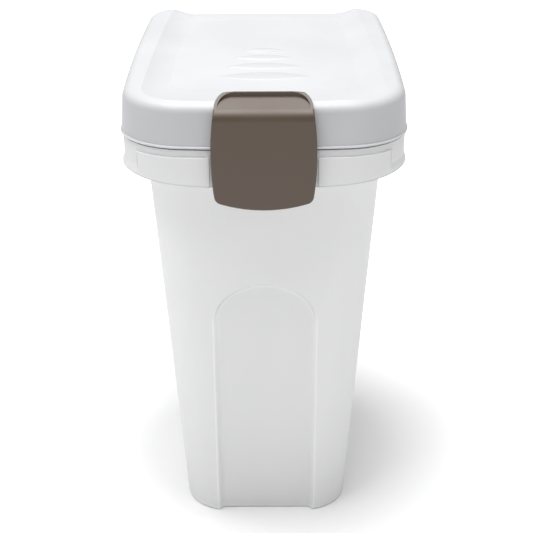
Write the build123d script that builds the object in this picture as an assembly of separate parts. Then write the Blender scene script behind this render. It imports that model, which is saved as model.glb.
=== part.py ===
from build123d import *
from dataclasses import astuple, dataclass, replace
import math
import os

# Pet food storage bin: a frosted tub with a collar, a hinged white lid and a front latch.
# Millimetres. +Z is up, the front faces -Y, and the origin is the middle of the base.

# Lid in plan, at its lip
lid_half_width = 155.0
lid_reach_front = 210.0
lid_reach_back = 206.0
lid_corner_front = 75.0
lid_corner_back = 38.0
lid_bow_front = 11.2
lid_bow_back = 3.0
lid_bow_side = 4.2

# Lid in section
lid_skin = 2.6
lid_gap = 2.0
lid_height = 52.9
lid_tilt = 2.0
lip_height = 2.6
lip_step = 1.3
lip_round = 1.0
lid_draft = 2.2
lid_back_lean = 3.0
edge_radius = 11.0
edge_end_angle = 80.0
back_edge_radius = 3.5
least_inner_radius = 0.9
band_fall = 0.8

# Dish in the lid's top, with its ridge and its flat panel
band_front = 14.5
band_side_front = 27.6
band_side_middle = 28.8
band_side_back = 36.5
ridge_corner_front = 46.0
ridge_corner_back = 5.0
ridge_bow = 9.0
dish_depth = 7.8
dish_first_slope = 0.42
dish_spread = 0.4
scoop_front = 66.0
scoop_side = 25.6
panel_back_gap = 27.0
panel_corner_front = 26.0
panel_corner_back = 15.0
panel_bow = 2.0
strip_rise = 0.3
strip_reach = 45.0

# Grip ribs on the panel
rib_count = 4
rib_back_edge = 27.0
rib_first_length = 49.0
rib_length_step = 17.0
rib_first_width = 13.0
rib_width_step = 4.4
rib_gap = 15.2
rib_height = 2.4
rib_lean = 3.0

# Tub
foot_half_width = 98.5
foot_half_depth = 149.0
foot_corner = 51.0
foot_round = 3.0
neck_half_width = 129.6
neck_half_depth = 180.6
neck_corner = 45.5
tub_bow_front = 5.0
tub_bow_side = 3.0
tub_wall = 2.4
tub_floor = 3.5
flange_height = 484.0
flange_thickness = 2.4

# Recess in the tub's front
arch_half_width = 57.3
arch_height = 317.0
arch_top_radius = 65.0
arch_shoulder_radius = 45.0
arch_foot_depth = 8.0
arch_top_depth = 1.6
arch_flank_run = 0.6
arch_floor_round = 5.0
arch_edge_margin = 0.2

# Collar
collar_inset = 0.7
collar_wall = 2.4
collar_drop = 31.2
collar_dip = 9.2
ledge_drop = 7.2
ledge_step = 1.8
ledge_round = 0.8
relief_step = 2.0
relief_half_width = 132.0
relief_drop = 23.5
relief_flare = 6.0

# Pocket in the collar behind the latch
pocket_half_width = 56.0
pocket_depth = 3.1
gusset_thickness = 2.0
gusset_drop = 30.0
nib_half_width = 20.0
nib_height = 2.6
nib_reach = 2.4
nib_drop = 11.5

# Seal
seal_width = 5.4
seal_height = 4.0
seal_tongue_width = 1.9
seal_tongue_height = 2.4
seal_roof_depth = 12.5
seal_wall = 1.9
seal_wall_short = 0.5
seal_gap = 0.3
side_clearance = 0.1

# Lid hinge
hinge_setback = 7.0
hinge_axis_drop = 0.5
hinge_spacing = 170.0
hinge_barrel_radius = 6.0
hinge_pin_radius = 2.0
knuckle_width = 24.0
ear_width = 7.0
ear_gap = 0.4
ear_foot_drop = 18.0
ear_stop_reach = 11.0
ear_stop_width = 4.5
ear_stop_height = 7.0
ear_stop_foot = 4.0
knuckle_arm_height = 15.0
running_clearance = 0.06
press_clearance = 0.01
pin_overhang = 0.8

# Latch
latch_front_gap = 8.0
latch_thickness = 2.4
latch_bend_radius = 13.0
latch_bend_below_ridge = 15.2
latch_slope = 25.0
latch_axis_back = 20.0
latch_axis_height = 3.4
latch_barrel_radius = 5.5
latch_rim_thickness = 3.2
latch_top_half_width = 49.7
latch_wide_half_width = 53.8
latch_low_half_width = 50.2
latch_wide_drop = 46.4
latch_low_drop = 84.9
latch_chin = 8.6
latch_low_corner = 9.0
latch_back_corner = 19.0
latch_edge_round = 1.5
latch_return = 2.0
latch_return_gap = 1.8
latch_pin_radius = 1.5
latch_pin_half_length = 28.0
notch_clearance = 0.5
notch_half_length = 31.0
notch_wall = 2.4
lug_middle = 21.5
lug_width = 5.0
lug_radius = 3.1
lug_post_width = 4.8
lug_gap = 0.4
latch_swing = 115.0
rib_half_width = 18.0
rib_thickness = 4.0
rib_bite = 1.2
rib_clearance = 0.3
web_thickness = 1.8
web_inset = 6.0
web_height = 34.0
web_gap = 1.2

lip_bottom = flange_height + lid_gap
top_middle = lip_bottom + lid_height
tilt_rise = math.tan(math.radians(lid_tilt))
# The top plane of the lid holds its ridge, and rises towards the back.
top_frame = Location((0, 0, top_middle), (lid_tilt, 0, 0))
# Reach of a cut past what it cuts, and of a cut that goes right through
overcut = 1.0
far = 600.0


def ridge_height(y):
    return top_middle + y * tilt_rise


@dataclass
class Outline:
    """A rounded rectangle with bowed edges, seen from above."""

    front: float
    back: float
    width_front: float
    width_middle: float
    width_back: float
    bow_front: float
    bow_back: float
    corner_front: float
    corner_back: float

    def inset(self, by, back=None):
        """The same outline drawn in, at the back by its own amount."""
        at_back = by if back is None else back
        return Outline(
            self.front - by,
            self.back - at_back,
            self.width_front - by,
            self.width_middle - by,
            self.width_back - by,
            self.bow_front,
            self.bow_back,
            self.corner_front - by,
            self.corner_back - by,
        )

    def face(self, height=0.0):
        front_y = self.bow_front - self.front
        back_y = self.back - self.bow_back
        middle_y = (front_y + back_y) / 2
        front_left = (-self.width_front, front_y)
        front_right = (self.width_front, front_y)
        back_right = (self.width_back, back_y)
        back_left = (-self.width_back, back_y)
        flat = make_face(
            [
                ThreePointArc(front_left, (0, -self.front), front_right),
                ThreePointArc(front_right, (self.width_middle, middle_y), back_right),
                ThreePointArc(back_right, (0, self.back), back_left),
                ThreePointArc(back_left, (-self.width_middle, middle_y), front_left),
            ]
        )
        corners = flat.vertices().sort_by(Axis.Y)
        flat = fillet(corners[:2], self.corner_front)
        corners = [v for v in flat.vertices() if abs(v.Y - back_y) < 1e-6]
        flat = fillet(corners, self.corner_back)
        return Pos(0, 0, height) * flat


def blend(low, high, share):
    """The outline that lies between two others."""
    pairs = zip(astuple(low), astuple(high))
    return Outline(*[a + (b - a) * share for a, b in pairs])


def column(outline, low, high):
    """A straight block with an outline, between two heights."""
    return extrude(outline.face(low), high - low)


def frustum(low, low_z, high, high_z):
    """A block that runs straight from one outline to another."""
    return loft([low.face(low_z), high.face(high_z)], ruled=True)


def block(x_low, x_high, y_low, y_high, z_low, z_high):
    """A plain block between its limits."""
    middle = ((x_low + x_high) / 2, (y_low + y_high) / 2, (z_low + z_high) / 2)
    return Pos(*middle) * Box(x_high - x_low, y_high - y_low, z_high - z_low)


def rod(radius, x_low, x_high, y, z):
    """A round bar along X."""
    bar = Cylinder(radius, x_high - x_low, rotation=(0, 90, 0))
    return Pos((x_low + x_high) / 2, y, z) * bar


def across(profile, half_width):
    """A profile in the Y and Z plane, made solid to both sides of the middle."""
    return extrude(profile, half_width, both=True)


def profile_yz(points):
    """A straight-edged profile in the Y and Z plane."""
    corners = [(0, y, z) for y, z in points]
    return make_face(Polyline(*corners, close=True))


lip = Outline(
    front=lid_reach_front,
    back=lid_reach_back,
    width_front=lid_half_width - lid_bow_side,
    width_middle=lid_half_width,
    width_back=lid_half_width - lid_bow_side,
    bow_front=lid_bow_front,
    bow_back=lid_bow_back,
    corner_front=lid_corner_front,
    corner_back=lid_corner_back,
)
shoulder_depth = band_fall + edge_radius * math.sin(math.radians(edge_end_angle))
wall_top_inset = lip_step + lid_draft
ridge_back = lid_reach_back - wall_top_inset - lid_back_lean - back_edge_radius
ridge = Outline(
    front=lid_reach_front - band_front,
    back=ridge_back,
    width_front=lid_half_width - band_side_front,
    width_middle=lid_half_width - band_side_middle,
    width_back=lid_half_width - band_side_back,
    bow_front=ridge_bow,
    bow_back=lid_bow_back,
    corner_front=ridge_corner_front,
    corner_back=ridge_corner_back,
)
panel = Outline(
    front=ridge.front - scoop_front,
    back=ridge.back - panel_back_gap,
    width_front=ridge.width_front - scoop_side - panel_bow,
    width_middle=ridge.width_middle - scoop_side,
    width_back=ridge.width_back - scoop_side,
    bow_front=panel_bow,
    bow_back=panel_bow,
    corner_front=panel_corner_front,
    corner_back=panel_corner_back,
)


def tub_outline(half_width, half_depth, corner):
    return Outline(
        front=half_depth,
        back=half_depth,
        width_front=half_width - tub_bow_side,
        width_middle=half_width,
        width_back=half_width - tub_bow_side,
        bow_front=tub_bow_front,
        bow_back=tub_bow_front,
        corner_front=corner,
        corner_back=corner,
    )


foot = tub_outline(foot_half_width, foot_half_depth, foot_corner)
neck = tub_outline(neck_half_width, neck_half_depth, neck_corner)

# Lid


def back_inset(depth, radius):
    """How far the rounded back edge is drawn in, at a depth below the top plane."""
    if depth >= radius:
        return 0.0
    return radius - math.sqrt(radius**2 - (radius - depth) ** 2)


def lid_block(skin):
    """The lid without its dish: its outer form, or its hollow at a skin's depth."""
    base = lip.inset(lip_step + skin)
    base_z = lip_bottom + lip_height / 2 if skin == 0 else lip_bottom - overcut
    lean = lid_draft + lid_back_lean
    wall_top = lip.inset(wall_top_inset + skin, lip_step + skin + lean)
    side = loft([base.face(base_z), top_frame * wall_top.face(-shoulder_depth)], ruled=True)
    radius = edge_radius - skin
    back_radius = max(back_edge_radius - skin, least_inner_radius)
    sections = []
    for step in range(5):
        angle = math.radians(edge_end_angle * step / 4)
        depth = shoulder_depth - radius * math.sin(angle)
        draw_in = radius * (1 - math.cos(angle))
        section = wall_top.inset(draw_in, back_inset(depth - skin, back_radius))
        sections.append(top_frame * section.face(-depth))
    edge = loft(sections)
    last = section
    top = replace(ridge, back=wall_top.back - back_radius)
    crown = loft([top_frame * last.face(-depth), top_frame * top.face(-skin)], ruled=True)
    return side + edge + crown


def dish(skin):
    """What the dish takes out of the lid, or its underside at a skin's depth."""
    spread = skin * dish_spread
    low = panel.inset(-spread)
    high = ridge.inset(-spread)
    sections = []
    for step in range(4):
        share = step / 3
        rise = dish_first_slope * share + (1 - dish_first_slope) * share**2
        section = blend(low, high, share)
        sections.append(top_frame * section.face(-dish_depth * (1 - rise) - skin))
    bowl = loft(sections) + top_frame * extrude(high.face(-skin), edge_radius)
    return bowl + back_opening(skin, spread)


def back_opening(skin, spread):
    """The low stretch of the lid's back edge, which curves up to a horn at each side."""
    tip = ridge.width_back + spread
    flat = panel.width_back + spread
    low = strip_rise - dish_depth
    middle_rise = dish_first_slope / 2 + (1 - dish_first_slope) / 4
    middle_z = low * (1 - middle_rise)
    edges = [
        Line((-flat, 0, low), (flat, 0, low)),
        ThreePointArc((flat, 0, low), ((flat + tip) / 2, 0, middle_z), (tip, 0, 0)),
        Line((tip, 0, 0), (tip, 0, edge_radius)),
        Line((tip, 0, edge_radius), (-tip, 0, edge_radius)),
        Line((-tip, 0, edge_radius), (-tip, 0, 0)),
        ThreePointArc((-tip, 0, 0), (-(flat + tip) / 2, 0, middle_z), (-flat, 0, low)),
    ]
    start = Pos(0, ridge.back - strip_reach, -skin)
    return top_frame * start * extrude(make_face(edges), strip_reach * 2, dir=(0, 1, 0))


def grip_rib(middle, length, width):
    """A long low lens that stands out of the panel and tapers to its tips."""
    tips = ((-length / 2, 0), (length / 2, 0))
    half = make_face([ThreePointArc(tips[0], (0, width / 2), tips[1]), Line(*tips)])
    spindle = revolve(half, Axis.X)
    lens = scale(spindle, by=(1, 1, 2 * rib_height / width))
    return top_frame * Pos(0, middle, -dish_depth) * Rot(rib_lean, 0, 0) * lens


def grip_ribs():
    ribs = []
    back_edge = rib_back_edge
    for number in range(rib_count):
        width = rib_first_width + number * rib_width_step
        length = rib_first_length + number * rib_length_step
        ribs.append(grip_rib(back_edge - width / 2, length, width))
        back_edge -= width + rib_gap
    return ribs


# Seal: its rings follow the middle of the neck's wall.
neck_middle = neck.inset(tub_wall / 2)


def ring(outer_half, inner_half, low_depth, high_depth):
    """A ring along the neck, between two depths below the top plane."""
    outer = column(neck_middle.inset(-outer_half), -low_depth, -high_depth)
    inner = column(neck_middle.inset(inner_half), -low_depth - overcut, -high_depth + overcut)
    return top_frame * (outer - inner)


seal_face_depth = seal_roof_depth + seal_height
groove_half = seal_width / 2 + side_clearance
slot_half = seal_tongue_width / 2 + side_clearance


def seal_channel():
    """The two walls under the lid that hold the seal, joined to a slotted roof."""
    walls = ring(
        groove_half + seal_wall,
        groove_half + seal_wall,
        seal_face_depth - seal_wall_short,
        0,
    )
    groove = ring(groove_half, groove_half, seal_face_depth + overcut, seal_roof_depth)
    slot = ring(slot_half, slot_half, seal_roof_depth + overcut, 0)
    return walls - groove - slot


def lid_seal():
    half = seal_width / 2
    body = ring(half, half, seal_face_depth, seal_roof_depth)
    half = seal_tongue_width / 2
    tongue = ring(half, half, seal_roof_depth, seal_roof_depth - seal_tongue_height)
    return body + tongue


# Lid hinge, behind the collar
hinge_y = lid_reach_back + hinge_setback
hinge_z = lip_bottom - hinge_axis_drop
collar_back = lid_reach_back - collar_inset
knuckle_reach = knuckle_width / 2


def knuckle(side):
    """The lid's part of a hinge: a barrel on a wedge-shaped arm."""
    middle = side * hinge_spacing / 2
    root_y = lid_reach_back - lip_step - lid_skin / 2 - lid_bow_back
    top_z = hinge_z + hinge_barrel_radius
    low_z = lip_bottom + lip_height / 4
    arm = profile_yz(
        [
            (root_y, low_z),
            (hinge_y, low_z),
            (hinge_y, top_z),
            (root_y, hinge_z + knuckle_arm_height),
        ]
    )
    low_x, high_x = middle - knuckle_reach, middle + knuckle_reach
    arm = Pos(middle, 0, 0) * across(arm, knuckle_reach)
    return arm + rod(hinge_barrel_radius, low_x, high_x, hinge_y, hinge_z)


def ear(side, place):
    """One of the tub's two ears beside a knuckle, with the raised nose that stops the open lid."""
    near = knuckle_reach + ear_gap
    middle = side * hinge_spacing / 2 + place * (near + ear_width / 2)
    root_y = collar_back - collar_wall - ledge_step
    foot_low = flange_height - ear_foot_drop
    eye = Pos(hinge_y, hinge_z) * Circle(hinge_barrel_radius)
    foot_line = Line((root_y, foot_low), (root_y, flange_height - flange_thickness))
    nose = Polyline(
        (hinge_y, hinge_z - ear_stop_foot),
        (hinge_y + ear_stop_reach - ear_stop_width, hinge_z - ear_stop_foot),
        (hinge_y + ear_stop_reach, hinge_z),
        (hinge_y + ear_stop_reach, hinge_z + ear_stop_height),
        (hinge_y + ear_stop_reach - ear_stop_width, hinge_z + ear_stop_height),
        (hinge_y + ear_stop_reach - ear_stop_width, hinge_z + ear_stop_foot),
        (hinge_y, hinge_z + ear_stop_foot),
        close=True,
    )
    outline = Plane.YZ * (make_hull([*eye.edges(), foot_line]) + make_face(nose))
    return Pos(middle, 0, 0) * extrude(outline, ear_width / 2, both=True)


def hinge_pin(side):
    half = knuckle_reach + ear_gap + ear_width + pin_overhang
    middle = side * hinge_spacing / 2
    pin = rod(hinge_pin_radius, middle - half, middle + half, hinge_y, hinge_z)
    return chamfer(pin.edges(), pin_overhang / 2)


# Latch: where it turns and where its faces lie
latch_front = -lid_reach_front - latch_front_gap
latch_y = -lid_reach_front + latch_axis_back
latch_z = ridge_height(-ridge.front) + latch_axis_height
bend_y = latch_front + latch_bend_radius
bend_z = ridge_height(-ridge.front) - latch_bend_below_ridge
rim_front = latch_y - latch_rim_thickness
rim_top = latch_z + latch_barrel_radius
latch_inner = latch_front + latch_thickness
return_back = -lid_reach_front - latch_return_gap
latch_low = bend_z - latch_low_drop
barrel_half = notch_half_length - notch_clearance
notch_radius = latch_barrel_radius + notch_clearance

# The collar's pocket and nib that the latch closes on
pocket_y = -lid_reach_front + collar_inset + pocket_depth
nib_bottom = flange_height - nib_drop - nib_height


def slope_point(radius, y=None):
    """A point on the latch's sloping top, at a distance from the bend's middle."""
    slope = math.radians(latch_slope)
    start_y = bend_y - radius * math.sin(slope)
    start_z = bend_z + radius * math.cos(slope)
    if y is None:
        return start_y, start_z
    return y, start_z + (y - start_y) * math.tan(slope)


def bend_point(radius):
    """The middle of the latch's bend, at a distance from the bend's own middle."""
    half_turn = math.radians((90 - latch_slope) / 2)
    return bend_y - radius * math.cos(half_turn), bend_z + radius * math.sin(half_turn)


def latch_profile(depth):
    """A block of the latch's side view, at a depth below its front, its bend and its slope."""
    front = latch_front + depth
    radius = latch_bend_radius - depth
    back = latch_y + depth
    low = latch_low - latch_chin - depth
    edges = [
        Line((front, low), (front, bend_z)),
        ThreePointArc((front, bend_z), bend_point(radius), slope_point(radius)),
        Line(slope_point(radius), slope_point(radius, back)),
        Line(slope_point(radius, back), (back, low)),
        Line((back, low), (front, low)),
    ]
    return across(Plane.YZ * make_face(edges), latch_wide_half_width + overcut)


def latch_shell():
    """The latch's front and slope with their rounded, returned edge."""
    body = latch_profile(0) & latch_from_front(0)
    rims = body.edges().filter_by(Axis.X, reverse=True).filter_by(Axis.Y, reverse=True)
    rims = [edge for edge in rims if edge.center().Y < latch_y - latch_thickness]
    body = fillet(rims, latch_edge_round)
    inside = latch_profile(latch_thickness)
    behind = inside & block(-far, far, return_back, far, -far, far)
    return body - (inside & latch_from_front(latch_return)) - behind


def latch_from_front(inset):
    """A block of the latch's front view, drawn in by an inset: bowed sides, a rounded chin."""
    top_z = rim_top + overcut
    side_z = bend_z + latch_bend_radius
    wide_z = side_z - latch_wide_drop
    low_z = latch_low + inset
    top = latch_top_half_width - inset
    wide = latch_wide_half_width - inset
    low = latch_low_half_width - inset
    chin = (0, low_z - latch_chin)
    edges = [
        Line((-top, top_z), (top, top_z)),
        Line((top, top_z), (top, side_z)),
        ThreePointArc((top, side_z), (wide, wide_z), (low, low_z)),
        ThreePointArc((low, low_z), chin, (-low, low_z)),
        ThreePointArc((-low, low_z), (-wide, wide_z), (-top, side_z)),
        Line((-top, side_z), (-top, top_z)),
    ]
    flat = make_face(edges)
    low_corners = [v for v in flat.vertices() if abs(v.Y - low_z) < 1e-6]
    flat = fillet(low_corners, latch_low_corner - inset)
    return extrude(Plane.XZ * flat, far)


def latch_plan(inset):
    """The latch's top seen from above, drawn in by an inset: two rounded back corners."""
    half = latch_top_half_width - inset
    back = latch_y - inset
    radius = latch_back_corner - inset
    start = back - radius
    short = radius * (1 - math.sqrt(0.5))
    corner = (half - short, back - short)
    edges = [
        Line((-half, latch_front - overcut), (half, latch_front - overcut)),
        Line((half, latch_front - overcut), (half, start)),
        ThreePointArc((half, start), corner, (half - radius, back)),
        Line((half - radius, back), (radius - half, back)),
        ThreePointArc((radius - half, back), (-corner[0], corner[1]), (-half, start)),
        Line((-half, start), (-half, latch_front - overcut)),
    ]
    return Pos(0, 0, latch_low) * extrude(make_face(edges), far)


def latch_rim():
    """The raised edge that follows the latch's back corners and slopes down to its bend."""
    inner = latch_bend_radius - latch_thickness
    wedge = profile_yz(
        [
            slope_point(inner),
            slope_point(latch_bend_radius),
            (rim_front, rim_top),
            (latch_y, rim_top),
            slope_point(inner, latch_y),
        ]
    )
    rim = across(wedge, latch_top_half_width) & latch_plan(0)
    return rim - latch_plan(latch_rim_thickness)


def above_slope():
    """What lies over the latch's slope, in front of its rim."""
    corners = [
        slope_point(latch_bend_radius),
        slope_point(latch_bend_radius, rim_front),
        (rim_front, rim_top + overcut),
        (bend_y, rim_top + overcut),
    ]
    return across(profile_yz(corners), latch_top_half_width)


def lug_way(side):
    """The way of one of the lid's lugs through the latch, over its whole swing."""
    reach = 2 * latch_barrel_radius
    post_way = Pos(reach / 2, 0) * Rectangle(reach, lug_post_width + 2 * lug_gap)
    start, middle, end = -90, latch_swing / 2 - 90, latch_swing - 90

    def at(angle):
        turn = math.radians(angle)
        return reach * math.cos(turn), reach * math.sin(turn)

    sector = make_face(
        [
            Line((0, 0), at(start)),
            ThreePointArc(at(start), at(middle), at(end)),
            Line(at(end), (0, 0)),
        ]
    )
    way = Circle(lug_radius + lug_gap) + sector
    way += Rot(0, 0, start) * post_way
    way += Rot(0, 0, end) * post_way
    way = Plane.YZ * Pos(latch_y, latch_z) * way
    half = lug_width / 2 + lug_gap
    return Pos(side * lug_middle, 0, 0) * extrude(way, half, both=True)


def snap_rib():
    """The rib inside the latch that catches the collar's nib, with its two webs."""
    top = nib_bottom - rib_clearance
    back = pocket_y - nib_reach + rib_bite
    rib = block(-rib_half_width, rib_half_width, latch_inner, back, top - rib_thickness, top)
    web_x = rib_half_width - web_inset
    web_back = -lid_reach_front - web_gap
    for x in (-web_x, web_x):
        low_x, high_x = x - web_thickness / 2, x + web_thickness / 2
        rib += block(low_x, high_x, latch_inner, web_back, top - rib_thickness, top + web_height)
    return rib


def latch():
    """The whole latch, closed."""
    half = latch_wide_half_width + overcut
    start = latch_y - latch_back_corner
    corners = block(-half, half, start, latch_y + overcut, bend_z, rim_top + overcut) - latch_plan(0)
    body = latch_shell() - corners + latch_rim()
    barrel = rod(latch_barrel_radius, -barrel_half, barrel_half, latch_y, latch_z)
    body += barrel - above_slope() + snap_rib()
    bore_radius = latch_pin_radius + running_clearance
    body -= rod(bore_radius, -half, half, latch_y, latch_z)
    for side in (-1, 1):
        body -= lug_way(side)
    return body


def latch_pin():
    half = latch_pin_half_length
    pin = rod(latch_pin_radius, -half, half, latch_y, latch_z)
    return chamfer(pin.edges(), pin_overhang / 2)


# Lid, put together


def lug(side):
    """One of the two lugs that stand in the lid's notch and hold the latch's pin."""
    low_x = side * lug_middle - lug_width / 2
    high_x = side * lug_middle + lug_width / 2
    half = lug_post_width / 2
    floor_z = latch_z - notch_radius - notch_wall / 2
    post = block(low_x, high_x, latch_y - half, latch_y + half, floor_z, latch_z)
    return post + rod(lug_radius, low_x, high_x, latch_y, latch_z)


def lip_bead():
    """The rounded bead round the lid's lower edge."""
    bead = column(lip, lip_bottom, lip_bottom + lip_height)
    return fillet(bead.edges().filter_by(GeomType.LINE, reverse=True), lip_round)


def lid():
    """The whole lid, closed, with its wall, its dish, its notch and the seal's channel."""
    body = lid_block(0) + lip_bead()
    for side in (-1, 1):
        body += knuckle(side)
    body -= dish(0)
    notch_end = notch_half_length + notch_wall
    boss = rod(notch_radius + notch_wall, -notch_end, notch_end, latch_y, latch_z)
    body -= lid_block(lid_skin) - dish(lid_skin) - seal_channel() - boss
    for rib in grip_ribs():
        body += rib
    body -= rod(notch_radius, -notch_half_length, notch_half_length, latch_y, latch_z)
    for side in (-1, 1):
        body += lug(side)
        middle = side * hinge_spacing / 2
        low_x, high_x = middle - knuckle_width, middle + knuckle_width
        body -= rod(hinge_pin_radius + running_clearance, low_x, high_x, hinge_y, hinge_z)
    lug_end = lug_middle + lug_width
    body -= rod(latch_pin_radius + press_clearance, -lug_end, lug_end, latch_y, latch_z)
    return body


# Tub
neck_start = flange_height - flange_thickness
rim_depth = seal_face_depth + seal_gap
wall_lean = math.atan((neck_half_depth - foot_half_depth) / neck_start)
arch_edge_round = foot_round + arch_edge_margin


def tub_body(wall, floor):
    """The tub's tapered outer form, or its inside at a wall's depth above a floor."""
    low = blend(foot, neck, floor / neck_start).inset(wall)
    high = neck.inset(wall)
    return frustum(low, floor, high, neck_start) + column(high, neck_start, top_middle)


def arch_outline(spread, low):
    """The recess seen from the front, spread outwards: an arched top with round shoulders."""
    side = arch_half_width + spread
    top = arch_height / math.cos(wall_lean) + spread
    radius = arch_top_radius + spread
    shoulder = top - radius + math.sqrt(radius**2 - side**2)
    edges = [
        Line((-side, low), (side, low)),
        Line((side, low), (side, shoulder)),
        ThreePointArc((side, shoulder), (0, top), (-side, shoulder)),
        Line((-side, shoulder), (-side, low)),
    ]
    flat = make_face(edges)
    shoulders = flat.vertices().sort_by(Axis.Y)[-2:]
    return fillet(shoulders, arch_shoulder_radius + spread)


def arch_recess(wall):
    """The shallow arch in the tub's front, or the inside of its wall."""
    reach = 2 * arch_foot_depth
    sections = []
    for out in (reach, -reach):
        spread = wall * math.hypot(1, arch_flank_run) + out * arch_flank_run
        sections.append(Pos(0, 0, out) * arch_outline(spread, -reach))
    out_of_wall = (0, -math.cos(wall_lean), -math.sin(wall_lean))
    front = Plane(origin=(0, -foot_half_depth, 0), x_dir=(1, 0, 0), z_dir=out_of_wall)
    arch = front * loft(sections, ruled=True)
    foot_y = -foot_half_depth + arch_foot_depth + wall
    top_y = -foot_half_depth - arch_height * math.tan(wall_lean) + arch_top_depth + wall
    slope = (top_y - foot_y) / arch_height
    low_z, high_z = -reach, arch_height + 2 * reach
    in_front = profile_yz(
        [
            (-far, low_z),
            (foot_y + slope * low_z, low_z),
            (foot_y + slope * high_z, high_z),
            (-far, high_z),
        ]
    )
    arch = arch & across(in_front, far)
    floor_face = max(arch.faces(), key=lambda face: face.normal_at().Y)
    flanks = [edge for edge in floor_face.edges() if edge.center().Z > 0]
    return fillet(flanks, arch_floor_round + wall)


def outer_tub():
    """The tub's outer form, with the recess's rounded rim and the rounded foot."""
    plain = tub_body(0, 0)
    recess = arch_recess(0)
    body = plain - recess
    skins = (plain.shell(), recess.shell())
    rim = []
    for edge in body.edges():
        middle = edge @ 0.5
        if middle.Z > foot_round and all(skin.distance_to(middle) < 0.001 for skin in skins):
            rim.append(edge)
    body = fillet(rim, arch_edge_round)
    foot_edges = body.edges().filter_by_position(Axis.Z, -0.01, 0.01)
    return fillet(foot_edges, foot_round)


def collar_block(wall, top):
    """The collar's outer form, or its inside at a wall's depth, up to a height."""
    proud = lip.inset(collar_inset + wall)
    ledge = flange_height - ledge_drop - wall
    low = flange_height - collar_drop - collar_dip
    relieved = proud.inset(relief_step)
    flare_top = flange_height - relief_drop - wall
    flare_low = flare_top - relief_flare
    half = relief_half_width - wall
    middle = column(proud, low, ledge) & block(-half, half, -far, far, low, ledge)
    if wall == 0:
        top_edges = middle.faces().sort_by(Axis.Z)[-1].edges()
        middle = fillet(top_edges.filter_by(Axis.Y, reverse=True), ledge_round)
    sides = column(proud, low, flare_low)
    sides += frustum(proud, flare_low, relieved, flare_top)
    sides += column(relieved, flare_top, ledge)
    return middle + sides + column(proud.inset(ledge_step), ledge, top)


def collar_side_view():
    """The collar seen from the front, with its lower edge bowed down in the middle."""
    half = lid_half_width
    low = flange_height - collar_drop
    edges = [
        ThreePointArc((-half, low), (0, low - collar_dip), (half, low)),
        Line((half, low), (half, flange_height)),
        Line((half, flange_height), (-half, flange_height)),
        Line((-half, flange_height), (-half, low)),
    ]
    return extrude(Plane.XZ * make_face(edges), far, both=True)


def collar():
    """The collar and flange, with the latch's pocket, its gussets and its nib."""
    outer = collar_block(0, flange_height)
    shell = outer - collar_block(collar_wall, neck_start)
    half = pocket_half_width
    wide = half + gusset_thickness
    low = flange_height - collar_drop - collar_dip
    back = pocket_y + collar_wall
    shell += outer & block(-wide, wide, -far, back, low, flange_height)
    shell = shell & collar_side_view()
    shell -= block(-half, half, -far, pocket_y, low - overcut, flange_height + overcut)
    inside = -neck_half_depth + 4 * tub_wall
    for side in (-1, 1):
        low_x, high_x = sorted((side * half, side * wide))
        gusset_low = flange_height - gusset_drop
        shell += block(low_x, high_x, back - collar_wall, inside, gusset_low, neck_start)
    nib_top = nib_bottom + nib_height
    nib_front = pocket_y - nib_reach
    shell += block(-nib_half_width, nib_half_width, nib_front, back - overcut, nib_bottom, nib_top)
    return shell


def tub():
    """The whole tub."""
    body = outer_tub() + collar()
    for side in (-1, 1):
        for place in (-1, 1):
            body += ear(side, place)
    body -= tub_body(tub_wall, tub_floor) - arch_recess(tub_wall)
    body -= top_frame * block(-far, far, -far, far, -rim_depth, far)
    end = hinge_spacing / 2 + knuckle_reach + ear_gap + 2 * ear_width
    bore = hinge_pin_radius + press_clearance
    body -= rod(bore, -end, end, hinge_y, hinge_z)
    return body


os.makedirs("parts", exist_ok=True)
pieces = {
    "tub": tub(),
    "lid": lid(),
    "lid_seal": lid_seal(),
    "latch": latch(),
    "latch_pin": latch_pin(),
    "hinge_pin_left": hinge_pin(-1),
    "hinge_pin_right": hinge_pin(1),
}
for name, piece in pieces.items():
    export_step(piece, f"parts/{name}.step")
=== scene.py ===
import math
from types import SimpleNamespace

import bpy
from mathutils import Matrix, Vector

# Pet food storage bin: frosted tub, glossy white lid, taupe latch. Metres, +Z up, front faces -Y.
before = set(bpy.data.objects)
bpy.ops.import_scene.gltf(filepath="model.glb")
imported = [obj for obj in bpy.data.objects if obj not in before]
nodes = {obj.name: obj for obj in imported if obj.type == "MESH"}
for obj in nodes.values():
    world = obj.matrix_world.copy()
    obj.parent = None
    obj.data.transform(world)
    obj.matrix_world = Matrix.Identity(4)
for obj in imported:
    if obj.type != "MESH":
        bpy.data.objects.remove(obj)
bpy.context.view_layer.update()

# Camera: the photograph's own view, from the front and above
camera_place = Vector((0.00539, -1.30662, 0.8511))
camera_pitch = 0.423
camera_heading = 0.003
camera_roll = -0.005
focal_length = 77.1
sensor_width = 36.0
clip_range = (0.01, 100.0)

# Light: one large softbox overhead and a white surround, which lights less than it shows
softbox_place = (-0.26, -0.2, 2.35)
softbox_target = (0.0, -0.15, 0.3)
softbox_side = 1.9
softbox_power = 60.0
surround_light = 0.34

# Floor: pale, with a glow that grows with the distance from the bin
floor_side = 40.0
floor_colour = (0.86, 0.86, 0.865, 1.0)
floor_roughness = 0.7
floor_specular = 0.2
glow_reach = (0.15, 0.6)
glow_near = 0.07
glow_light = 0.45

# Places on the lid
lid_half_width = 0.155
skirt_top = 0.536
skirt_blend = 0.012
skirt_outline = (0.86, 0.95)
lip_middle = 0.4873
lip_half_height = 0.0012
panel_height = 0.5311
panel_slope = 0.0349
panel_skin = 0.0012
rib_blend = 0.002
rib_edge_offset = 0.0002
rib_edge_half_width = 0.0013
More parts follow.
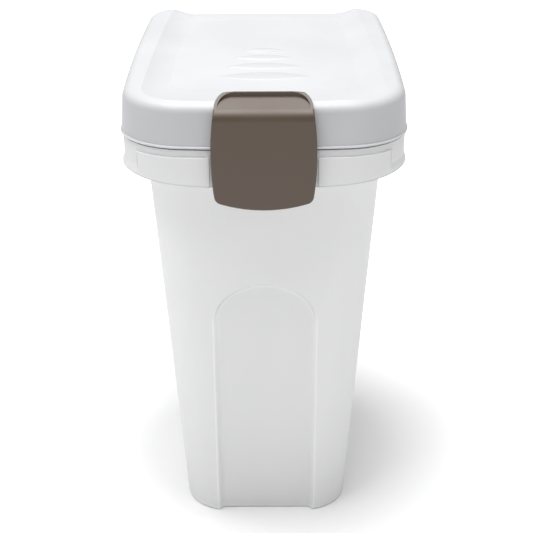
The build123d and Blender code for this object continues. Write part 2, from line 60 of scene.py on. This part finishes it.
# Each grip rib's middle, half length and half width on the lid's panel
grip_ribs = (
    (0.0208, 0.0245, 0.0065),
    (-0.0096, 0.033, 0.0087),
    (-0.0444, 0.0415, 0.0109),
    (-0.0836, 0.05, 0.0131),
)

# Places on the tub's collar, wall and foot
outline_reach = (0.150, 0.205)
outline_power = 4.0
collar_outline = (0.93, 0.97)
collar_low = 0.4436
collar_blend = 0.002
collar_bow = 0.0092
collar_edge_offset = 0.0004
collar_edge_half_height = 0.0008
ledge_middle = 0.4763
ledge_half_height = 0.0005
step_half_width = 0.132
step_line_middle = 0.1316
step_line_half_width = 0.0006
step_middle = 0.4685
step_half_height = 0.008
wall_shade_top = 0.43
wall_shade_low = 0.30
foot_rim_middle = 0.0045
foot_rim_half_height = 0.0014

# Places on the recess in the tub's front
arch_top_middle = 0.252
arch_top_radius = 0.065
arch_blend = 0.02
arch_line_offset = -0.0006
arch_line_half_width = 0.0012
shoulder_middle = (0.0123, 0.2676)
shoulder_radius = 0.045
recess_front = (-0.11, -0.12)
recess_blend = 0.006
recess_line_offset = 0.0012
recess_line_half_width = 0.0008

# Painted light and shade: how light each place is painted, as a share of its plastic's own
# colour; below 1 is painted shade, above 1 a painted highlight
skirt_painted_shade = 0.9
lip_painted_highlight = 1.25
rib_face_painted_shade = 0.91
rib_edge_painted_shadow = 0.86
collar_painted_shade = 0.81
collar_edge_painted_shade = 0.72
ledge_painted_highlight = 1.13
step_painted_shade = 0.82
low_wall_painted_shade = 0.94
foot_rim_painted_highlight = 1.06
recess_painted_shade = 0.95
recess_line_painted_highlight = 1.1
arch_line_painted_shade = 0.84

# The part of a noise's range that its values mostly fill, and how strongly the grain shows
noise_low = 0.3
noise_high = 0.7
grain_strength = 0.35

# Where a line's mask ends and where it is full, as shares of the line's half width
line_end = 1.5
line_full = 0.5

white = (1.0, 1.0, 1.0, 1.0)


def photo_camera():
    """The camera with the photograph's lens, place and tilt."""
    data = bpy.data.cameras.new("photo_camera")
    data.lens = focal_length
    data.sensor_width = sensor_width
    data.sensor_fit = "HORIZONTAL"
    data.clip_start, data.clip_end = clip_range
    camera = bpy.data.objects.new("photo_camera", data)
    turn = Matrix.Rotation(camera_heading, 4, "Z")
    turn = turn @ Matrix.Rotation(math.pi / 2 - camera_pitch, 4, "X")
    turn = turn @ Matrix.Rotation(camera_roll, 4, "Z")
    camera.matrix_world = Matrix.Translation(camera_place) @ turn
    bpy.context.scene.collection.objects.link(camera)
    bpy.context.scene.camera = camera


class Nodes:
    """Adds and links the nodes of one material, world or group."""

    def __init__(self, tree):
        self.tree = tree
        tree.nodes.clear()

    def add(self, kind, **values):
        node = self.tree.nodes.new(kind)
        for name, value in values.items():
            setattr(node, name, value)
        return node

    def link(self, source, target):
        self.tree.links.new(source, target)


def new_material(name):
    """An empty material and the tool that adds its nodes."""
    material = bpy.data.materials.new(name)
    material.use_nodes = True
    return material, Nodes(material.node_tree)


def moulded_grain_group():
    """Fine moulded texture: a height and a cloud mask from the coordinates that it is given."""
    tree = bpy.data.node_groups.new("moulded_grain", "ShaderNodeTree")
    face = tree.interface
    face.new_socket("Vector", in_out="INPUT", socket_type="NodeSocketVector")
    for name in ("Grain", "Cloud", "Stretch"):
        face.new_socket(name, in_out="INPUT", socket_type="NodeSocketFloat")
    for name in ("Height", "Cloud"):
        face.new_socket(name, in_out="OUTPUT", socket_type="NodeSocketFloat")
    build = Nodes(tree)
    enter = build.add("NodeGroupInput")
    leave = build.add("NodeGroupOutput")
    grain = build.add("ShaderNodeTexNoise")
    grain.inputs["Detail"].default_value = 2.0
    build.link(enter.outputs["Vector"], grain.inputs["Vector"])
    build.link(enter.outputs["Grain"], grain.inputs["Scale"])
    squeeze = build.add("ShaderNodeCombineXYZ")
    squeeze.inputs["X"].default_value = 1.0
    squeeze.inputs["Y"].default_value = 1.0
    build.link(enter.outputs["Stretch"], squeeze.inputs["Z"])
    scaled = build.add("ShaderNodeVectorMath", operation="MULTIPLY")
    build.link(enter.outputs["Vector"], scaled.inputs[0])
    build.link(squeeze.outputs[0], scaled.inputs[1])
    cloud = build.add("ShaderNodeTexNoise")
    cloud.inputs["Detail"].default_value = 4.0
    cloud.inputs["Roughness"].default_value = 0.55
    build.link(scaled.outputs[0], cloud.inputs["Vector"])
    build.link(enter.outputs["Cloud"], cloud.inputs["Scale"])
    build.link(grain.outputs[0], leave.inputs["Height"])
    build.link(cloud.outputs[0], leave.inputs["Cloud"])
    return tree


grain_group = moulded_grain_group()


def add_grain(build, grain, cloud, stretch):
    """The grain group, placed in a material and fed with Object coordinates."""
    place = build.add("ShaderNodeTexCoord")
    group = build.add("ShaderNodeGroup")
    group.node_tree = grain_group
    group.inputs["Grain"].default_value = grain
    group.inputs["Cloud"].default_value = cloud
    group.inputs["Stretch"].default_value = stretch
    build.link(place.outputs["Object"], group.inputs["Vector"])
    return group


def map_range(build, source, start, end, low=0.0, high=1.0):
    """Maps a value from one range to another, and holds it at the ends."""
    node = build.add("ShaderNodeMapRange")
    node.inputs["From Min"].default_value = start
    node.inputs["From Max"].default_value = end
    node.inputs["To Min"].default_value = low
    node.inputs["To Max"].default_value = high
    build.link(source, node.inputs["Value"])
    return node.outputs["Result"]


def colour_ramp(build, source, low, high):
    """Blends two close colours by a noise."""
    node = build.add("ShaderNodeValToRGB")
    for stop, place, colour in zip(
        node.color_ramp.elements, (noise_low, noise_high), (low, high)
    ):
        stop.position = place
        stop.color = (*colour, 1.0)
    build.link(source, node.inputs["Fac"])
    return node.outputs["Color"]


def bump(build, source, distance):
    """Turns a height into a normal for a surface with fine relief."""
    node = build.add("ShaderNodeBump")
    node.inputs["Strength"].default_value = grain_strength
    node.inputs["Distance"].default_value = distance
    build.link(source, node.inputs["Height"])
    return node.outputs["Normal"]


def calc(build, operation, first, second=0.0):
    """One Math node; each input is a number or another node's output."""
    node = build.add("ShaderNodeMath", operation=operation)
    for socket, value in zip(node.inputs, (first, second)):
        if isinstance(value, float):
            socket.default_value = value
        else:
            build.link(value, socket)
    return node.outputs[0]


def product(build, first, *others):
    """The values multiplied, which for masks is where all of them hold."""
    for other in others:
        first = calc(build, "MULTIPLY", first, other)
    return first


def line_mask(build, value, middle, half_width):
    """A mask for a thin line: 1 where the value is near its middle, with soft edges."""
    away = calc(build, "ABSOLUTE", calc(build, "SUBTRACT", value, middle))
    return map_range(build, away, half_width * line_end, half_width * line_full)


def length_2d(build, first, second):
    """The length of a vector in a plane."""
    squares = [calc(build, "POWER", value, 2.0) for value in (first, second)]
    return calc(build, "SQRT", calc(build, "ADD", *squares))


def tinted(build, shade, mask, factor):
    """The shade multiplied by a factor where the mask is 1."""
    change = calc(build, "MULTIPLY", mask, factor - 1.0)
    return calc(build, "MULTIPLY", shade, calc(build, "ADD", change, 1.0))


def position(build):
    """The Object coordinates Y and Z, and the distance to the side from the middle."""
    place = build.add("ShaderNodeTexCoord")
    split = build.add("ShaderNodeSeparateXYZ")
    build.link(place.outputs["Object"], split.inputs[0])
    x, y, z = split.outputs
    return SimpleNamespace(side=calc(build, "ABSOLUTE", x), y=y, z=z)


def outline_share(build, at):
    """How far out a point lies: 1 on the collar's rounded outline, 0 in the middle."""
    deep = calc(build, "ABSOLUTE", at.y)
    powers = []
    for value, reach in zip((at.side, deep), outline_reach):
        powers.append(calc(build, "POWER", calc(build, "DIVIDE", value, reach), outline_power))
    return calc(build, "ADD", *powers)


def collar_painted_light(build):
    """Painted light on the collar: painted shade over the whole collar, a painted highlight along
    its ledge, and painted shade lines at its step and along its lower edge.
    """
    at = position(build)
    outer = map_range(build, outline_share(build, at), *collar_outline)
    high = map_range(build, at.z, collar_low - collar_blend, collar_low)
    collar = product(build, outer, high)
    bow = calc(build, "POWER", calc(build, "DIVIDE", at.side, lid_half_width), 2.0)
    low_edge = calc(build, "ADD", calc(build, "MULTIPLY", bow, collar_bow), collar_low)
    over_edge = calc(build, "SUBTRACT", at.z, low_edge)
    edge = line_mask(build, over_edge, collar_edge_offset, collar_edge_half_height)
    ledge = line_mask(build, at.z, ledge_middle, ledge_half_height)
    inside = calc(build, "LESS_THAN", at.side, step_half_width)
    step = line_mask(build, at.side, step_line_middle, step_line_half_width)
    step_zone = line_mask(build, at.z, step_middle, step_half_height)
    shade = tinted(build, 1.0, collar, collar_painted_shade)
    shade = tinted(build, shade, product(build, collar, edge), collar_edge_painted_shade)
    shade = tinted(build, shade, product(build, collar, ledge, inside), ledge_painted_highlight)
    return tinted(build, shade, product(build, collar, step, step_zone), step_painted_shade)


def recess_distance(build, at):
    """The distance outside the recess's arched outline, negative inside it."""
    over_top = calc(build, "SUBTRACT", at.z, arch_top_middle)
    top = calc(build, "SUBTRACT", length_2d(build, at.side, over_top), arch_top_radius)
    past = []
    for value, start in zip((at.side, at.z), shoulder_middle):
        past.append(calc(build, "MAXIMUM", calc(build, "SUBTRACT", value, start), 0.0))
    flank = calc(build, "SUBTRACT", length_2d(build, *past), shoulder_radius)
    slope = shoulder_middle[0] / (shoulder_middle[1] - arch_top_middle)
    is_top = calc(build, "GREATER_THAN", calc(build, "MULTIPLY", over_top, slope), at.side)
    gap = calc(build, "SUBTRACT", top, flank)
    return calc(build, "ADD", flank, calc(build, "MULTIPLY", gap, is_top))


def recess_painted_light(build):
    """Painted light on the recess: painted highlights along its sides, a painted shade line over
    its arch, and painted shade on its floor.
    """
    at = position(build)
    away = recess_distance(build, at)
    front = map_range(build, at.y, *recess_front)
    arch = map_range(build, at.z, shoulder_middle[1], shoulder_middle[1] + arch_blend)
    sides = calc(build, "SUBTRACT", 1.0, arch)
    clear = line_mask(build, away, recess_line_offset, recess_line_half_width)
    dark = line_mask(build, away, arch_line_offset, arch_line_half_width)
    inner = map_range(build, away, 0.0, -recess_blend)
    shade = tinted(build, 1.0, product(build, clear, sides, front), recess_line_painted_highlight)
    shade = tinted(build, shade, product(build, dark, arch, front), arch_line_painted_shade)
    return tinted(build, shade, product(build, inner, front), recess_painted_shade)


def tub_painted_light(build):
    """The collar's and the recess's painted light, on a wall with painted shade that grows
    towards the foot and a painted highlight along the foot's rim.
    """
    at = position(build)
    low = map_range(build, at.z, wall_shade_top, wall_shade_low)
    rim = line_mask(build, at.z, foot_rim_middle, foot_rim_half_height)
    wall = tinted(build, tinted(build, 1.0, low, low_wall_painted_shade), rim, foot_rim_painted_highlight)
    return product(build, collar_painted_light(build), wall, recess_painted_light(build))


def ribs_painted_shade(build):
    """Painted shade on the grip ribs: their faces darker than the panel, and a painted shadow
    line along each back edge.
    """
    at = position(build)
    above = calc(build, "SUBTRACT", at.z, calc(build, "MULTIPLY", at.y, panel_slope))
    on_top = calc(build, "GREATER_THAN", above, panel_height - panel_skin)
    lines = 0.0
    faces = 0.0
    for middle, half_length, half_width in grip_ribs:
        share = calc(build, "POWER", calc(build, "DIVIDE", at.side, half_length), 2.0)
        reach = calc(build, "MULTIPLY", calc(build, "SUBTRACT", 1.0, share), half_width)
        off = calc(build, "SUBTRACT", at.y, middle)
        past = calc(build, "SUBTRACT", off, reach)
        line = line_mask(build, past, rib_edge_offset, rib_edge_half_width)
        line = product(build, line, calc(build, "GREATER_THAN", reach, 0.0))
        face = calc(build, "SUBTRACT", reach, calc(build, "ABSOLUTE", off))
        lines = calc(build, "MAXIMUM", line, lines)
        faces = calc(build, "MAXIMUM", map_range(build, face, 0.0, rib_blend), faces)
    shade = tinted(build, 1.0, product(build, lines, on_top), rib_edge_painted_shadow)
    return tinted(build, shade, product(build, faces, on_top), rib_face_painted_shade)


def lid_painted_light(build):
    """Painted light on the lid: painted shade on its skirt, a painted highlight on the bead of
    its lip, and the ribs' painted shade.
    """
    at = position(build)
    below = map_range(build, at.z, skirt_top, skirt_top - skirt_blend)
    outer = map_range(build, outline_share(build, at), *skirt_outline)
    lip = line_mask(build, at.z, lip_middle, lip_half_height)
    shade = tinted(build, 1.0, product(build, below, outer), skirt_painted_shade)
    return product(build, tinted(build, shade, lip, lip_painted_highlight), ribs_painted_shade(build))


def surface(name, colours, rough, grain, cloud, depth, stretch=1.0, shade=None, **sockets):
    """A material with a cloudy colour, uneven gloss and a fine grain, and painted light and shade
    in its colour where a shade is given.
    """
    material, build = new_material(name)
    shader = build.add("ShaderNodeBsdfPrincipled")
    output = build.add("ShaderNodeOutputMaterial")
    group = add_grain(build, grain, cloud, stretch)
    colour = colour_ramp(build, group.outputs["Cloud"], *colours)
    if shade:
        scaled = build.add("ShaderNodeVectorMath", operation="SCALE")
        build.link(colour, scaled.inputs[0])
        build.link(shade(build), scaled.inputs["Scale"])
        colour = scaled.outputs["Vector"]
    build.link(colour, shader.inputs["Base Color"])
    gloss = map_range(build, group.outputs["Cloud"], noise_low, noise_high, *rough)
    build.link(gloss, shader.inputs["Roughness"])
    build.link(bump(build, group.outputs["Height"], depth), shader.inputs["Normal"])
    for socket, value in sockets.items():
        shader.inputs[socket.replace("_", " ")].default_value = value
    build.link(shader.outputs[0], output.inputs["Surface"])
    return material


def assign(node, material):
    """Gives a CAD node its material."""
    mesh = nodes[node].data
    mesh.materials.clear()
    mesh.materials.append(material)


lid_white = surface(
    "glossy_white_plastic",
    colours=((0.59, 0.594, 0.61), (0.615, 0.619, 0.635)),
    rough=(0.36, 0.44),
    grain=1400.0,
    cloud=9.0,
    depth=0.00002,
    shade=lid_painted_light,
    Specular_IOR_Level=0.45,
)
tub_frosted = surface(
    "frosted_plastic",
    colours=((0.915, 0.918, 0.922), (0.94, 0.942, 0.946)),
    rough=(0.42, 0.52),
    grain=700.0,
    cloud=10.0,
    depth=0.00003,
    stretch=0.3,
    shade=tub_painted_light,
    Subsurface_Weight=0.2,
    Subsurface_Scale=0.01,
    Subsurface_Radius=(1.0, 1.0, 1.0),
    Specular_IOR_Level=0.3,
)
latch_taupe = surface(
    "taupe_plastic",
    colours=((0.062, 0.034, 0.015), (0.069, 0.039, 0.018)),
    rough=(0.45, 0.53),
    grain=900.0,
    cloud=16.0,
    depth=0.00003,
    Specular_IOR_Level=0.95,
)
seal_rubber = surface(
    "seal_rubber",
    colours=((0.42, 0.42, 0.42), (0.47, 0.47, 0.47)),
    rough=(0.6, 0.75),
    grain=500.0,
    cloud=30.0,
    depth=0.00005,
)
pin_steel = surface(
    "drawn_steel",
    colours=((0.50, 0.50, 0.50), (0.60, 0.60, 0.60)),
    rough=(0.22, 0.36),
    grain=400.0,
    cloud=60.0,
    depth=0.00001,
    stretch=0.1,
    Metallic=1.0,
)
assign("lid", lid_white)
assign("tub", tub_frosted)
assign("latch", latch_taupe)
assign("lid_seal", seal_rubber)
for pin in ("latch_pin", "hinge_pin_left", "hinge_pin_right"):
    assign(pin, pin_steel)


def floor():
    """A plain pale floor that stays bright far from the bin, and lights less than it shows."""
    bpy.ops.mesh.primitive_plane_add(size=floor_side)
    plane = bpy.context.object
    plane.name = "floor"
    material, build = new_material("pale_floor")
    shader = build.add("ShaderNodeBsdfPrincipled")
    output = build.add("ShaderNodeOutputMaterial")
    place = build.add("ShaderNodeTexCoord")
    reach = build.add("ShaderNodeVectorMath", operation="LENGTH")
    build.link(place.outputs["Object"], reach.inputs[0])
    glow = map_range(build, reach.outputs["Value"], *glow_reach, low=glow_near)
    path = build.add("ShaderNodeLightPath")
    share = map_range(build, path.outputs["Is Camera Ray"], 0.0, 1.0, low=glow_light)
    shader.inputs["Base Color"].default_value = floor_colour
    shader.inputs["Roughness"].default_value = floor_roughness
    shader.inputs["Specular IOR Level"].default_value = floor_specular
    shader.inputs["Emission Color"].default_value = white
    build.link(product(build, glow, share), shader.inputs["Emission Strength"])
    build.link(shader.outputs[0], output.inputs["Surface"])
    plane.data.materials.append(material)


def softbox():
    """The large soft light over the bin."""
    data = bpy.data.lights.new("overhead", "AREA")
    data.shape = "RECTANGLE"
    data.size = softbox_side
    data.size_y = softbox_side
    data.energy = softbox_power
    light = bpy.data.objects.new("overhead", data)
    light.location = softbox_place
    aim = Vector(softbox_target) - Vector(softbox_place)
    light.rotation_euler = aim.to_track_quat("-Z", "Y").to_euler()
    bpy.context.scene.collection.objects.link(light)


def surround():
    """A white surround, shown at full strength and lighting the bin softly."""
    scene = bpy.context.scene
    scene.view_settings.view_transform = "Standard"
    scene.view_settings.look = "None"
    world = bpy.data.worlds.new("studio")
    scene.world = world
    world.use_nodes = True
    build = Nodes(world.node_tree)
    output = build.add("ShaderNodeOutputWorld")
    path = build.add("ShaderNodeLightPath")
    mix = build.add("ShaderNodeMixShader")
    build.link(path.outputs["Is Camera Ray"], mix.inputs[0])
    for socket, strength in ((mix.inputs[1], surround_light), (mix.inputs[2], 1.0)):
        background = build.add("ShaderNodeBackground")
        background.inputs["Color"].default_value = white
        background.inputs["Strength"].default_value = strength
        build.link(background.outputs[0], socket)
    build.link(mix.outputs[0], output.inputs["Surface"])


photo_camera()
floor()
surround()
softbox()
